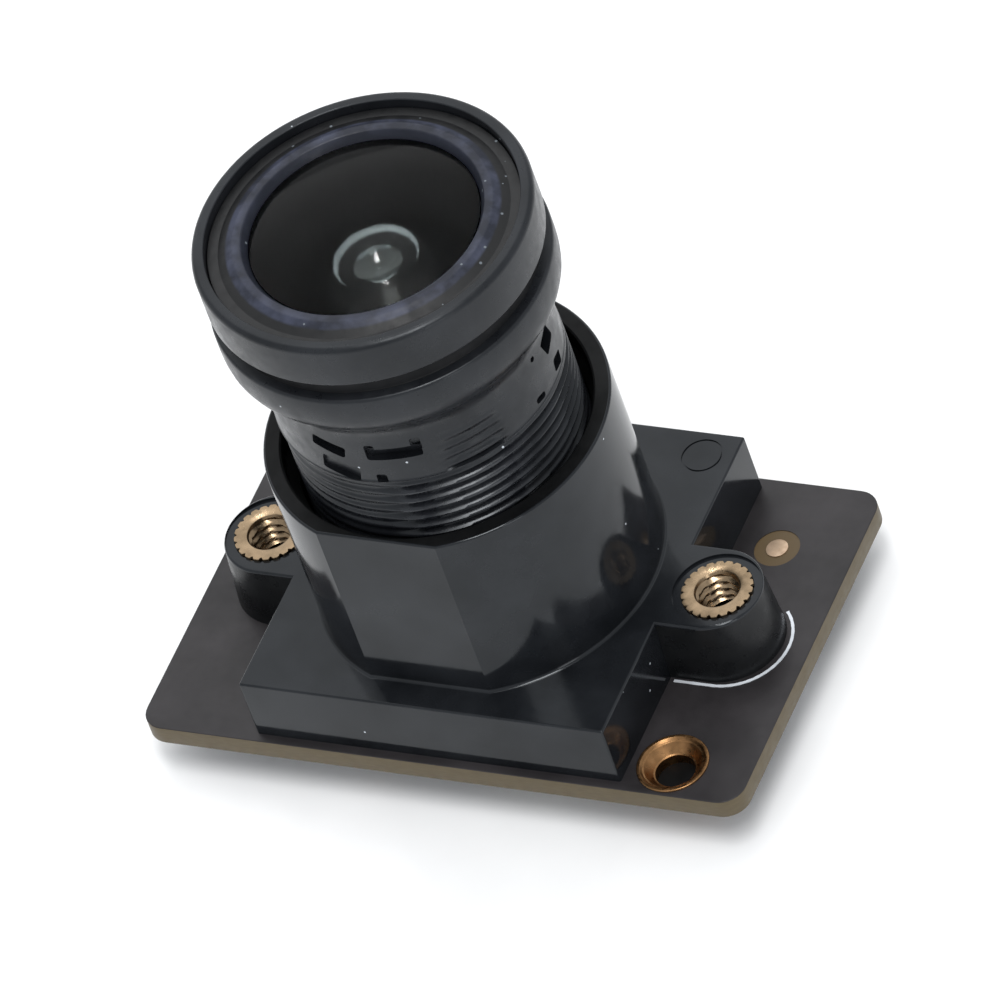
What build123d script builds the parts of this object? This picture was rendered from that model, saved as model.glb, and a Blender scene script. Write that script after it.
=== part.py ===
from build123d import *
import os

# Board camera module with a screw-in M12 wide-angle lens, in millimetres.
# Origin: on the optical axis, level with the lowest feet under the board, +Z towards the subject.
# +X runs along the board's long side, +Y towards the ribbon connector's mouth.
# Heights called "up" are measured from the board's top face.

# ---- driving dimensions -------------------------------------------------------------------
foot_height = 1.9          # screw heads and connector stand this far below the board
board_length = 26.7        # X
board_width = 16.7         # Y
board_thickness = 0.9
board_corner = 1.0
board_top = foot_height + board_thickness

insert_spacing = 20.0      # between the two brass inserts
insert_radius = 1.5
insert_core = 1.38
insert_teeth = 22
tap_radius = 0.8           # minor radius of an M2 thread

eyelet_x = 9.9             # the two eyelets sit on one diagonal of the board
eyelet_y = 6.7
eyelet_bore = 0.83
eyelet_flange = 1.5

holder_length = 16.2
holder_width = 15.9
holder_base = 3.0
holder_top = 11.64
holder_radius = 7.15
holder_flat = 6.65         # flat on the front of the tube, from the axis
ear_radius = 2.15
ear_reach = 9.75           # centre of the ear's round end
edge_break = 0.1

lens_thread = 5.98         # outside radius of the M12 x 0.5 thread
thread_clearance = 0.05
lens_bottom = 5.4
ring_radius = 6.97
lens_front = 23.2
stack_gap = 0.02           # between a round optical piece and the barrel that turns about it

deck = Plane.XY.offset(board_top)
under = Plane.XY.offset(foot_height)
section = Plane(origin=(0, 0, board_top), x_dir=(1, 0, 0), z_dir=(0, -1, 0))
insert_places = [(-insert_spacing / 2, 0), (insert_spacing / 2, 0)]
eyelet_places = [(eyelet_x, -eyelet_y), (-eyelet_x, eyelet_y)]

os.makedirs("parts", exist_ok=True)


def save(piece, label):
    """Label a finished piece and write it as its own file."""
    piece.part.label = label
    export_step(piece.part, f"parts/{label}.step")


# ---- circuit board ------------------------------------------------------------------------
screw_hole = 1.1
mask_opening = 1.0
mask_depth = 0.03
fiducial_at = (9.9, 5.0)
eyelet_wall = 1.38

with BuildPart() as circuit_board:
    with BuildSketch(under):
        RectangleRounded(board_length, board_width, board_corner)
        with Locations(*insert_places):
            Circle(screw_hole, mode=Mode.SUBTRACT)
        with Locations(*eyelet_places):
            Circle(eyelet_wall, mode=Mode.SUBTRACT)
    extrude(amount=board_thickness)
    with BuildSketch(deck):
        with Locations(fiducial_at):
            Circle(mask_opening)
    extrude(amount=-mask_depth, mode=Mode.SUBTRACT)
save(circuit_board, "circuit_board")

# Copper dot in the window of the solder mask, for the placement machine's camera.
dot_radius = 0.5
dot_thickness = 0.05

with BuildPart() as fiducial_dot:
    with BuildSketch(deck.offset(-mask_depth)):
        with Locations(fiducial_at):
            Circle(dot_radius)
    extrude(amount=dot_thickness)
save(fiducial_dot, "fiducial_dot")

# White ink line that follows the right ear.
ink_width = 0.2
ink_thickness = 0.03
ink_radius = 2.5
ink_start = 8.3

with BuildPart() as ink_outline:
    with BuildSketch(deck):
        with BuildLine():
            Line((ink_start, -ink_radius), (insert_spacing / 2, -ink_radius))
            CenterArc((insert_spacing / 2, 0), ink_radius, -90, 135)
        trace(line_width=ink_width)
    extrude(amount=ink_thickness)
save(ink_outline, "ink_outline")

# Gold-plated eyelets: flanged both sides, with a funnel at the top that leads into the bore.
flange_thickness = 0.08
funnel_radius = 1.3
funnel_depth = 0.42

with BuildPart() as board_eyelets:
    for eyelet_place in eyelet_places:
        eyelet_section = Plane(
            origin=(*eyelet_place, board_top), x_dir=(1, 0, 0), z_dir=(0, -1, 0)
        )
        with BuildSketch(eyelet_section):
            with BuildLine():
                Polyline(
                    (eyelet_bore, -board_thickness - flange_thickness),
                    (eyelet_flange, -board_thickness - flange_thickness),
                    (eyelet_flange, -board_thickness),
                    (eyelet_wall, -board_thickness),
                    (eyelet_wall, 0),
                    (eyelet_flange, 0),
                    (eyelet_flange, flange_thickness),
                    (funnel_radius, flange_thickness),
                    (eyelet_bore, -funnel_depth),
                    close=True,
                )
            make_face()
        revolve(axis=Axis((*eyelet_place, 0), (0, 0, 1)))
save(board_eyelets, "board_eyelets")

# ---- lens holder --------------------------------------------------------------------------
foot_fillet = 0.15
web_fillet = 0.5
insert_recess = 1.87
insert_recess_depth = 0.12
sensor_room = (13.0, 12.4)
sensor_room_height = 2.2
filter_side = 8.4
filter_seat_up = 2.75
light_gate = 7.4
bore_floor = 3.6
bore_mouth = 10.7
mouth_radius = 6.4
ejector_at = (6.7, 6.7)
ejector_radius = 0.87
ejector_line = 0.08
ejector_depth = 0.05

with BuildPart() as lens_holder:
    with BuildSketch(deck):
        Rectangle(holder_length, holder_width)
        Rectangle(2 * ear_reach, 2 * ear_radius)
        with Locations((-ear_reach, 0), (ear_reach, 0)):
            Circle(ear_radius)
        web_corners = vertices().filter_by(
            lambda v: abs(abs(v.X) - holder_length / 2) < 0.01 and abs(v.Y) < ear_radius + 0.01
        )
        fillet(web_corners, web_fillet)
    extrude(amount=holder_base)
    base_rim = faces().sort_by(Axis.Z)[-1].edges()
    fillet(base_rim, edge_break)
    with BuildSketch(deck):
        Circle(holder_radius)
        with Locations((0, -holder_radius)):
            flat_cut = 2 * (holder_radius - holder_flat)
            Rectangle(2 * holder_radius, flat_cut, mode=Mode.SUBTRACT)
    extrude(amount=holder_top)
    tube_rim = faces().sort_by(Axis.Z)[-1].edges()
    fillet(tube_rim, edge_break)
    base_level = board_top + holder_base
    base_top = faces().filter_by_position(Axis.Z, base_level - 0.01, base_level + 0.01)[0]
    tube_foot = base_top.inner_wires()[0].edges()
    fillet(tube_foot, foot_fillet)
    with BuildSketch(deck):
        Rectangle(*sensor_room)
    extrude(amount=sensor_room_height, mode=Mode.SUBTRACT)
    with BuildSketch(deck):
        RectangleRounded(filter_side + 0.1, filter_side + 0.1, 0.3)
    extrude(amount=filter_seat_up, mode=Mode.SUBTRACT)
    with BuildSketch(deck):
        RectangleRounded(light_gate, light_gate, 1.0)
    extrude(amount=bore_floor, mode=Mode.SUBTRACT)
    with BuildSketch(deck.offset(bore_floor)):
        Circle(lens_thread + thread_clearance)
    extrude(amount=holder_top - bore_floor, mode=Mode.SUBTRACT)
    with BuildSketch(deck.offset(bore_mouth)):
        Circle(mouth_radius)
    extrude(amount=holder_top - bore_mouth, mode=Mode.SUBTRACT)
    with BuildSketch(deck):
        with Locations(*insert_places):
            Circle(insert_radius)
    extrude(amount=holder_base, mode=Mode.SUBTRACT)
    with BuildSketch(deck.offset(holder_base)):
        with Locations(*insert_places):
            Circle(insert_recess)
    extrude(amount=-insert_recess_depth, mode=Mode.SUBTRACT)
    with BuildSketch(deck.offset(holder_base)):
        with Locations(ejector_at):
            Circle(ejector_radius)
            Circle(ejector_radius - ejector_line, mode=Mode.SUBTRACT)
    extrude(amount=-ejector_depth, mode=Mode.SUBTRACT)
save(lens_holder, "lens_holder")

# ---- brass inserts and the screws that hold the holder down -------------------------------
insert_foot = 0.1
tooth_width = 0.24
tap_mouth = 1.0
tap_mouth_depth = 0.3
screw_radius = 0.98
screw_room = 1.0
screw_length = 2.5
washer_radius = 2.25
washer_thickness = 0.3
head_radius = 1.9
head_height = foot_height - washer_thickness
head_round = 0.4
cross_width = 0.4
cross_length = 1.9
cross_depth = 0.9
screw_tip_up = head_height + screw_length - board_top

with BuildPart() as thread_inserts:
    with BuildSketch(deck.offset(insert_foot)):
        with Locations(*insert_places):
            Circle(insert_core)
            with PolarLocations(insert_core, insert_teeth):
                Rectangle(2 * (insert_radius - insert_core), tooth_width)
            Circle(insert_radius, mode=Mode.INTERSECT)
    extrude(amount=holder_base - insert_foot)
    with BuildSketch(deck.offset(insert_foot)):
        with Locations(*insert_places):
            Circle(tap_radius)
    extrude(amount=holder_base - insert_foot, mode=Mode.SUBTRACT)
    with BuildSketch(deck.offset(insert_foot)):
        with Locations(*insert_places):
            Circle(screw_room)
    extrude(amount=screw_tip_up + 0.05 - insert_foot, mode=Mode.SUBTRACT)
    with BuildSketch(deck.offset(holder_base)):
        with Locations(*insert_places):
            Circle(tap_mouth)
    extrude(amount=-tap_mouth_depth, mode=Mode.SUBTRACT)
save(thread_inserts, "thread_inserts")

with BuildPart() as holder_screws:
    with BuildSketch():
        with Locations(*insert_places):
            Circle(head_radius)
    extrude(amount=head_height)
    head_edges = faces().sort_by(Axis.Z)[:2].edges()
    fillet(head_edges, head_round)
    with BuildSketch(Plane.XY.offset(head_height)):
        with Locations(*insert_places):
            Circle(screw_radius)
    extrude(amount=screw_length)
    with BuildSketch():
        with Locations(*insert_places):
            Rectangle(cross_width, cross_length)
            Rectangle(cross_length, cross_width)
    extrude(amount=cross_depth, taper=8, mode=Mode.SUBTRACT)
save(holder_screws, "holder_screws")

with BuildPart() as screw_washers:
    with BuildSketch(Plane.XY.offset(head_height)):
        with Locations(*insert_places):
            Circle(washer_radius)
            Circle(screw_hole, mode=Mode.SUBTRACT)
    extrude(amount=washer_thickness)
save(screw_washers, "screw_washers")

# ---- image sensor and infrared filter -----------------------------------------------------
package_size = (10.4, 9.6)
package_height = 1.1
cavity_size = (8.0, 7.2)
cavity_floor = 0.4
die_size = (6.4, 5.4)
die_thickness = 0.3
cover_size = (9.2, 8.4)
cover_thickness = 0.4
filter_thickness = 0.3

with BuildPart() as sensor_package:
    with BuildSketch(deck):
        RectangleRounded(*package_size, 0.3)
    extrude(amount=package_height)
    with BuildSketch(deck.offset(cavity_floor)):
        RectangleRounded(*cavity_size, 0.3)
    extrude(amount=package_height - cavity_floor, mode=Mode.SUBTRACT)
save(sensor_package, "sensor_package")

with BuildPart() as sensor_die:
    with BuildSketch(deck.offset(cavity_floor)):
        Rectangle(*die_size)
    extrude(amount=die_thickness)
save(sensor_die, "sensor_die")

with BuildPart() as sensor_cover_glass:
    with BuildSketch(deck.offset(package_height)):
        Rectangle(*cover_size)
    extrude(amount=cover_thickness)
save(sensor_cover_glass, "sensor_cover_glass")

with BuildPart() as infrared_filter:
    with BuildSketch(deck.offset(filter_seat_up)):
        Rectangle(filter_side, filter_side)
    extrude(amount=-filter_thickness)
save(infrared_filter, "infrared_filter")

# ---- lens: outer pieces, which turn together ----------------------------------------------
thread_end = 14.1
neck_radius = 5.95
neck_end = 17.0
band_radius = 7.02
band_start = 19.0
flare_middle = ((neck_radius + band_radius) / 2, (neck_end + band_start) / 2)
groove_start = 20.3
groove_radius = 6.5
ring_start = 21.15
spigot_radius = 6.4
spigot_top = 22.2
rear_seat_radius = 4.6
rear_seat_top = 6.6
rear_bore = 4.2
stop_shoulder = 15.0
front_seat = 15.6
shoulder_bore = 3.0
front_bore = 5.35
pocket_depth = 0.4
pocket_height = 0.65
upper_pockets_up = 16.2
lower_pockets_up = 14.5
wide_pocket = 2.0
small_pocket = 0.8
pocket_turn = 110          # the pattern of pockets repeats by this angle
upper_pocket_angles = (-102, -72)
lower_pocket_angle = -98
small_pocket_angle = -81

with BuildPart() as lens_barrel:
    with BuildSketch(section):
        with BuildLine():
            Polyline(
                (rear_seat_radius, lens_bottom),
                (lens_thread - 0.3, lens_bottom),
                (lens_thread, lens_bottom + 0.3),
                (lens_thread, thread_end),
                (neck_radius, thread_end),
                (neck_radius, neck_end),
            )
            TangentArc((neck_radius, neck_end), flare_middle, tangent=(0, 1))
            TangentArc((band_radius, band_start), flare_middle, tangent=(0, -1))
            Polyline(
                (band_radius, band_start),
                (band_radius, groove_start),
                (groove_radius, groove_start),
                (groove_radius, ring_start),
                (spigot_radius, ring_start),
                (spigot_radius, spigot_top),
                (front_bore, spigot_top),
                (front_bore, front_seat),
                (shoulder_bore, front_seat),
                (shoulder_bore, stop_shoulder),
                (rear_bore, stop_shoulder),
                (rear_bore, rear_seat_top),
                (rear_seat_radius, rear_seat_top),
                (rear_seat_radius, lens_bottom),
            )
        make_face()
    revolve(axis=Axis.Z)
    for repeat in range(3):
        turn = repeat * pocket_turn
        for angle in upper_pocket_angles:
            with Locations(Location((0, 0, board_top + upper_pockets_up), (0, 0, angle + turn))):
                with Locations((neck_radius, 0, 0)):
                    Box(2 * pocket_depth, wide_pocket, pocket_height, mode=Mode.SUBTRACT)
        with Locations(
            Location((0, 0, board_top + lower_pockets_up), (0, 0, lower_pocket_angle + turn))
        ):
            with Locations((neck_radius, 0, 0)):
                Box(2 * pocket_depth, wide_pocket, pocket_height, mode=Mode.SUBTRACT)
        with Locations(
            Location((0, 0, board_top + lower_pockets_up), (0, 0, small_pocket_angle + turn))
        ):
            with Locations((neck_radius, 0, 0)):
                Box(2 * pocket_depth, small_pocket, pocket_height, mode=Mode.SUBTRACT)
save(lens_barrel, "lens_barrel")

front_lip = 6.43
rim_round = 0.25

with BuildPart() as front_ring:
    with BuildSketch(deck.offset(ring_start)):
        Circle(ring_radius)
        Circle(front_lip, mode=Mode.SUBTRACT)
    extrude(amount=lens_front - ring_start)
    ring_edges = edges().filter_by(GeomType.CIRCLE).filter_by(lambda e: e.radius > front_lip + 0.1)
    fillet(ring_edges, rim_round)
save(front_ring, "front_ring")

# Ring that holds the front glass: a flat outer step, then a cone that rises to the glass.
retainer_radius = 6.4
retainer_step_up = 22.78
cone_outer = 5.95
cone_inner = 4.75
cone_inner_up = 23.16

with BuildPart() as front_retaining_ring:
    with BuildSketch(section):
        with BuildLine():
            Polyline(
                (cone_inner, spigot_top + stack_gap),
                (retainer_radius, spigot_top + stack_gap),
                (retainer_radius, retainer_step_up),
                (cone_outer, retainer_step_up),
                (cone_inner + 0.08, cone_inner_up),
                (cone_inner, cone_inner_up - 0.08),
                close=True,
            )
        make_face()
    revolve(axis=Axis.Z)
save(front_retaining_ring, "front_retaining_ring")

rear_window = 2.7

with BuildPart() as rear_retaining_ring:
    with BuildSketch(deck.offset(lens_bottom + 0.1)):
        Circle(rear_seat_radius)
        Circle(rear_window, mode=Mode.SUBTRACT)
        with PolarLocations(rear_seat_radius, 2):
            Rectangle(1.6, 0.8, mode=Mode.SUBTRACT)
    extrude(amount=rear_seat_top - lens_bottom - 0.1 - stack_gap)
save(rear_retaining_ring, "rear_retaining_ring")

# ---- lens: the round optical stack, which rises and falls with the barrel ------------------
rear_edge = rear_bore - stack_gap
front_edge = front_bore - stack_gap
rear_clear = 3.5           # clear radius of the glasses behind the stop
second_clear = 1.75
baffle_opening = 1.8
baffle_height = 1.9
front_clear = 3.7
rear_glass_up = rear_seat_top + stack_gap
rear_spacer_up = 8.6
doublet_up = 10.0
doublet_joint_up = 11.5
stop_up = 13.2
stop_thickness = 0.15
stop_opening = 1.2
stack_top_up = stop_shoulder - stack_gap
second_glass_up = front_seat + stack_gap
front_spacer_up = 18.4
seal_up = 18.9
seal_section = 0.25
front_glass_up = seal_up + 2 * seal_section
front_glass_step = spigot_top - stack_gap
window_radius = cone_inner - 0.05
window_rim_up = 22.75
window_top_up = 23.45


def glass(radius, lower, upper):
    """Half section of a round glass; a face is (clear radius, level of its rim, level at the axis)."""
    for clear, rim, middle in (lower, upper):
        TangentArc((0, middle), (clear, rim), tangent=(1, 0))
        if clear < radius:
            Line((clear, rim), (radius, rim))
    Line((radius, lower[1]), (radius, upper[1]))
    Line((0, lower[2]), (0, upper[2]))


with BuildPart() as rear_glass:
    with BuildSketch(section):
        with BuildLine():
            glass(
                rear_edge,
                (rear_clear, rear_glass_up + 0.5, rear_glass_up),
                (rear_clear, rear_spacer_up, rear_spacer_up + 0.6),
            )
        make_face()
    revolve(axis=Axis.Z)
save(rear_glass, "rear_glass")

with BuildPart() as rear_spacer:
    with BuildSketch(deck.offset(rear_spacer_up)):
        Circle(rear_edge)
        Circle(rear_clear, mode=Mode.SUBTRACT)
    extrude(amount=doublet_up - rear_spacer_up)
save(rear_spacer, "rear_spacer")

with BuildPart() as doublet_rear_glass:
    with BuildSketch(section):
        with BuildLine():
            glass(
                rear_edge,
                (rear_clear, doublet_up, doublet_up + 0.4),
                (rear_edge, doublet_joint_up, doublet_joint_up - 0.8),
            )
        make_face()
    revolve(axis=Axis.Z)
save(doublet_rear_glass, "doublet_rear_glass")

with BuildPart() as doublet_front_glass:
    with BuildSketch(section):
        with BuildLine():
            glass(
                rear_edge,
                (rear_edge, doublet_joint_up, doublet_joint_up - 0.8),
                (rear_clear, stop_up, stop_up - 0.4),
            )
        make_face()
    revolve(axis=Axis.Z)
save(doublet_front_glass, "doublet_front_glass")

with BuildPart() as aperture_stop:
    with BuildSketch(deck.offset(stop_up)):
        Circle(rear_edge)
        Circle(stop_opening, mode=Mode.SUBTRACT)
    extrude(amount=stop_thickness)
save(aperture_stop, "aperture_stop")

with BuildPart() as stop_spacer:
    with BuildSketch(deck.offset(stop_up + stop_thickness)):
        Circle(rear_edge)
        Circle(rear_clear, mode=Mode.SUBTRACT)
    extrude(amount=stack_top_up - stop_up - stop_thickness)
save(stop_spacer, "stop_spacer")

with BuildPart() as second_glass:
    with BuildSketch(section):
        with BuildLine():
            glass(
                front_edge,
                (second_clear, second_glass_up, second_glass_up + 0.9),
                (second_clear, front_spacer_up, front_spacer_up + 1.5),
            )
        make_face()
    revolve(axis=Axis.Z)
save(second_glass, "second_glass")

with BuildPart() as front_spacer:
    with BuildSketch(section):
        with BuildLine():
            Polyline(
                (baffle_opening, front_spacer_up),
                (front_edge, front_spacer_up),
                (front_edge, seal_up),
                (front_clear, seal_up),
                (baffle_opening, front_spacer_up + baffle_height),
                close=True,
            )
        make_face()
    revolve(axis=Axis.Z)
save(front_spacer, "front_spacer")

with BuildPart() as front_seal:
    with BuildSketch(section):
        with Locations((front_edge - 2 * seal_section, seal_up + seal_section)):
            Circle(seal_section)
    revolve(axis=Axis.Z)
save(front_seal, "front_seal")

with BuildPart() as front_glass:
    with BuildSketch(section):
        with BuildLine():
            glass(
                window_radius,
                (front_clear, front_glass_up, front_glass_up + 1.8),
                (window_radius, window_rim_up, window_top_up),
            )
        make_face()
    revolve(axis=Axis.Z)
    with BuildSketch(deck.offset(front_glass_up)):
        Circle(front_edge)
        Circle(front_clear, mode=Mode.SUBTRACT)
    extrude(amount=front_glass_step - front_glass_up)
save(front_glass, "front_glass")

# ---- ribbon connector under the board -----------------------------------------------------
contact_count = 24
contact_pitch = 0.5
contact_width = 0.2
contact_sheet = 0.12
connector_half = 7.8
connector_back = 3.4
connector_front = 8.0
side_wall = 1.2
back_block_front = 5.2
roof_thickness = 0.55
contact_level = foot_height - roof_thickness - contact_sheet
tail_start = 2.7
tail_top_face = foot_height - contact_sheet
contact_front = 7.4
latch_hinge_y = 5.75
latch_hinge_z = 0.5
latch_round = 0.4
latch_half = connector_half - side_wall - 0.1
latch_front = 7.9
latch_pin = 0.25
latch_pin_room = 0.3
latch_pin_length = 0.4
ledge_depth = 0.3
tab_width = 0.4

with BuildPart() as connector_contacts:
    with BuildSketch(Plane.YZ) as contact_outline:
        with BuildLine():
            Polyline(
                (tail_start, foot_height),
                (tail_start, tail_top_face),
                (connector_back + 0.2, tail_top_face),
                (connector_back + 0.2, contact_level),
                (contact_front, contact_level),
                (contact_front, contact_level + contact_sheet),
                (connector_back + 0.4, contact_level + contact_sheet),
                (connector_back + 0.4, foot_height),
                close=True,
            )
        make_face()
    contact_blade = extrude(amount=contact_width / 2, both=True, mode=Mode.PRIVATE)
    with GridLocations(contact_pitch, 1, contact_count, 1):
        add(contact_blade)
save(connector_contacts, "connector_contacts")

with BuildPart() as connector_housing:
    with BuildSketch():
        with Locations((0, (connector_back + connector_front) / 2)):
            Rectangle(2 * connector_half, connector_front - connector_back)
    extrude(amount=foot_height)
    with BuildSketch():
        with Locations((0, (back_block_front + connector_front) / 2)):
            Rectangle(2 * (connector_half - side_wall), connector_front - back_block_front)
    extrude(amount=foot_height - roof_thickness, mode=Mode.SUBTRACT)
    with BuildSketch(Plane.YZ):
        with Locations((latch_hinge_y, latch_hinge_z)):
            Circle(latch_pin_room)
    extrude(amount=latch_half + latch_pin_length + 0.1, both=True, mode=Mode.SUBTRACT)
    add(connector_contacts.part, mode=Mode.SUBTRACT)
save(connector_housing, "connector_housing")

with BuildPart() as connector_latch:
    with BuildSketch(Plane.YZ):
        with BuildLine():
            CenterArc((latch_hinge_y, latch_hinge_z), latch_round, 90, 180)
            Polyline(
                (latch_hinge_y, latch_hinge_z - latch_round),
                (latch_front, latch_hinge_z - latch_round),
                (latch_front, latch_hinge_z),
                (latch_front - ledge_depth, latch_hinge_z),
                (latch_front - ledge_depth, latch_hinge_z + latch_round),
                (latch_hinge_y, latch_hinge_z + latch_round),
            )
        make_face()
    extrude(amount=latch_half, both=True)
    with BuildSketch(Plane.YZ):
        with Locations((latch_hinge_y, latch_hinge_z)):
            Circle(latch_pin)
    extrude(amount=latch_half + latch_pin_length, both=True)
save(connector_latch, "connector_latch")

with BuildPart() as connector_tabs:
    with BuildSketch(under):
        for side in (-1, 1):
            with Locations((side * (connector_half + tab_width / 2), 6.2)):
                Rectangle(tab_width, 1.8)
    extrude(amount=-0.8)
save(connector_tabs, "connector_tabs")

# ---- small components under the board -----------------------------------------------------
regulator_places = [(-5.8, -5.2), (-1.6, -5.2)]
regulator_body = (2.9, 1.6, 1.05)
regulator_lead = (0.4, 0.6, 0.15)
lead_pitch = 0.95
memory_at = (5.4, 0.4)
memory_body = (3.0, 2.0, 0.75)
oscillator_at = (3.6, -5.2)
oscillator_base = (3.2, 2.5, 0.5)
oscillator_lid = (2.8, 2.1, 0.25)
chip_body = (0.7, 0.5)
chip_end = 0.15
capacitor_height = 0.5
resistor_height = 0.32
capacitor_places = [
    (-7.0, -2.4), (-5.4, -2.4), (-3.8, -2.4), (-7.0, 1.4), (-5.4, 1.4),
    (-3.6, -7.4), (6.6, -3.6), (6.6, -4.8), (6.6, -6.0), (0.8, -2.4),
]
resistor_places = [
    (-2.2, -2.4), (-0.6, -2.4), (2.4, -2.4), (4.0, -2.4),
    (-3.4, 1.4), (-1.8, 1.4), (0.0, 1.4), (1.8, 1.4),
]

with BuildPart() as voltage_regulators:
    with BuildSketch(under):
        with Locations(*regulator_places):
            Rectangle(regulator_body[0], regulator_body[1])
    extrude(amount=-regulator_body[2], taper=4)
save(voltage_regulators, "voltage_regulators")

with BuildPart() as regulator_leads:
    with BuildSketch(under):
        lead_offset = (regulator_body[1] + regulator_lead[1]) / 2
        for x, y in regulator_places:
            with Locations((x, y - lead_offset)):
                with GridLocations(lead_pitch, 1, 3, 1):
                    Rectangle(regulator_lead[0], regulator_lead[1])
            with Locations((x, y + lead_offset)):
                with GridLocations(2 * lead_pitch, 1, 2, 1):
                    Rectangle(regulator_lead[0], regulator_lead[1])
    extrude(amount=-regulator_lead[2])
save(regulator_leads, "regulator_leads")

with BuildPart() as memory_chip:
    with BuildSketch(under):
        with Locations(memory_at):
            Rectangle(memory_body[0], memory_body[1])
    extrude(amount=-memory_body[2])
save(memory_chip, "memory_chip")

with BuildPart() as oscillator_case:
    with BuildSketch(under):
        with Locations(oscillator_at):
            RectangleRounded(oscillator_base[0], oscillator_base[1], 0.2)
    extrude(amount=-oscillator_base[2])
save(oscillator_case, "oscillator_case")

with BuildPart() as oscillator_cover:
    with BuildSketch(under.offset(-oscillator_base[2])):
        with Locations(oscillator_at):
            RectangleRounded(oscillator_lid[0], oscillator_lid[1], 0.3)
    extrude(amount=-oscillator_lid[2])
save(oscillator_cover, "oscillator_cover")

for kind, places, height in (
    ("capacitor", capacitor_places, capacitor_height),
    ("resistor", resistor_places, resistor_height),
):
    with BuildPart() as chip_bodies:
        with BuildSketch(under):
            with Locations(*places):
                Rectangle(*chip_body)
        extrude(amount=-height)
    save(chip_bodies, f"{kind}_bodies")

    with BuildPart() as chip_ends:
        with BuildSketch(under):
            with Locations(*places):
                with GridLocations(chip_body[0] + chip_end, 1, 2, 1):
                    Rectangle(chip_end, chip_body[1])
        extrude(amount=-height)
    save(chip_ends, f"{kind}_ends")
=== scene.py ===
import math

import bmesh
import bpy
from mathutils import Matrix, Vector


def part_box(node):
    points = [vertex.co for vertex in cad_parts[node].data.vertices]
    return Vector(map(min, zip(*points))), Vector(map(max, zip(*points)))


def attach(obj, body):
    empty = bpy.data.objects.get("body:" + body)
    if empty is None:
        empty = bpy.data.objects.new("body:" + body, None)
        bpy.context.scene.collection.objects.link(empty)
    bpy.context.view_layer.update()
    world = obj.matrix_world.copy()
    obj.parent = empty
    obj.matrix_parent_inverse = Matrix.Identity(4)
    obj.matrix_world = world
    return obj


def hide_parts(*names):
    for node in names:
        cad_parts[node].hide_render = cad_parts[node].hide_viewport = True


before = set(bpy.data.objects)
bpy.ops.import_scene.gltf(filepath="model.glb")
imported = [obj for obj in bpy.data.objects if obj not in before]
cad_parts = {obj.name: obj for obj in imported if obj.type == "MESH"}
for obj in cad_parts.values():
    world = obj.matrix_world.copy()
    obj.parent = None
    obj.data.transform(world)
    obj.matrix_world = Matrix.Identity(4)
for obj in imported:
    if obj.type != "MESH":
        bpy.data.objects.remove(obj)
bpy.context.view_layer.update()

MM = 0.001
TAU = 2 * math.pi


# ---- where things are, read from the frame -------------------------------------------------
def low(node):
    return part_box(node)[0]


def high(node):
    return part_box(node)[1]


def middle(node):
    return (low(node) + high(node)) / 2


BOARD_TOP = high("circuit_board").z
BOARD_BOTTOM = low("circuit_board").z
HOLDER_TOP = high("lens_holder").z
INSERT_TOP = high("thread_inserts").z
LENS_FRONT = high("front_ring").z


# ---- camera --------------------------------------------------------------------------------
CAMERA_ANGLES = (37.07, 44.76, 20.84)  # azimuth, elevation and roll, in degrees
CAMERA_TARGET = (0.93, 0.71, 6.0)  # millimetres, the last one above the board's top
CAMERA_DISTANCE = 639  # millimetres, as are the next two
FOCAL_LENGTH = 576
SENSOR_WIDTH = 36


def forward_of(azimuth, elevation):
    """The way a camera looks from this azimuth and elevation, in radians."""
    flat = math.cos(elevation)
    return Vector((-math.sin(azimuth) * flat, math.cos(azimuth) * flat, -math.sin(elevation)))


def add_camera():
    """A long lens from the front right, rolled so that the module leans to the left."""
    azimuth, elevation, roll = (math.radians(a) for a in CAMERA_ANGLES)
    target = Vector(CAMERA_TARGET) * MM + Vector((0, 0, BOARD_TOP))
    forward = forward_of(azimuth, elevation)
    level = forward.cross(Vector((0, 0, 1))).normalized()
    upright = level.cross(forward)
    right = math.cos(roll) * level - math.sin(roll) * upright
    up = math.sin(roll) * level + math.cos(roll) * upright
    data = bpy.data.cameras.new("camera")
    data.lens = FOCAL_LENGTH
    data.sensor_width = SENSOR_WIDTH
    data.clip_start = 0.01
    data.clip_end = 10
    camera = bpy.data.objects.new("camera", data)
    bpy.context.scene.collection.objects.link(camera)
    rotation = Matrix((right, up, -forward)).transposed().to_4x4()
    camera.matrix_world = Matrix.Translation(target - forward * CAMERA_DISTANCE * MM) @ rotation
    bpy.context.scene.camera = camera


# ---- light and floor -----------------------------------------------------------------------
# name, azimuth, elevation, distance and size in metres, power in watts
LIGHTS = (
    ("back_light", 217, 45, 0.9, (0.9, 0.9), 1.5),  # level faces mirror it
    ("front_light", 41, 70, 0.7, (0.17, 0.42), 2.4),  # streaks on the lens thread
    ("top_light", 217, 82, 0.7, (0.25, 0.25), 0.4),
    ("side_light", 56, 15, 0.6, (0.12, 0.3), 0.3),  # patch on the tube's right
    ("tall_lamp", 217, 62, 0.6, (0.011, 0.032), 0.1),  # the two glints on the front glass
    ("small_lamp", 217, 71, 0.6, (0.014, 0.014), 0.05),
)


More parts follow.
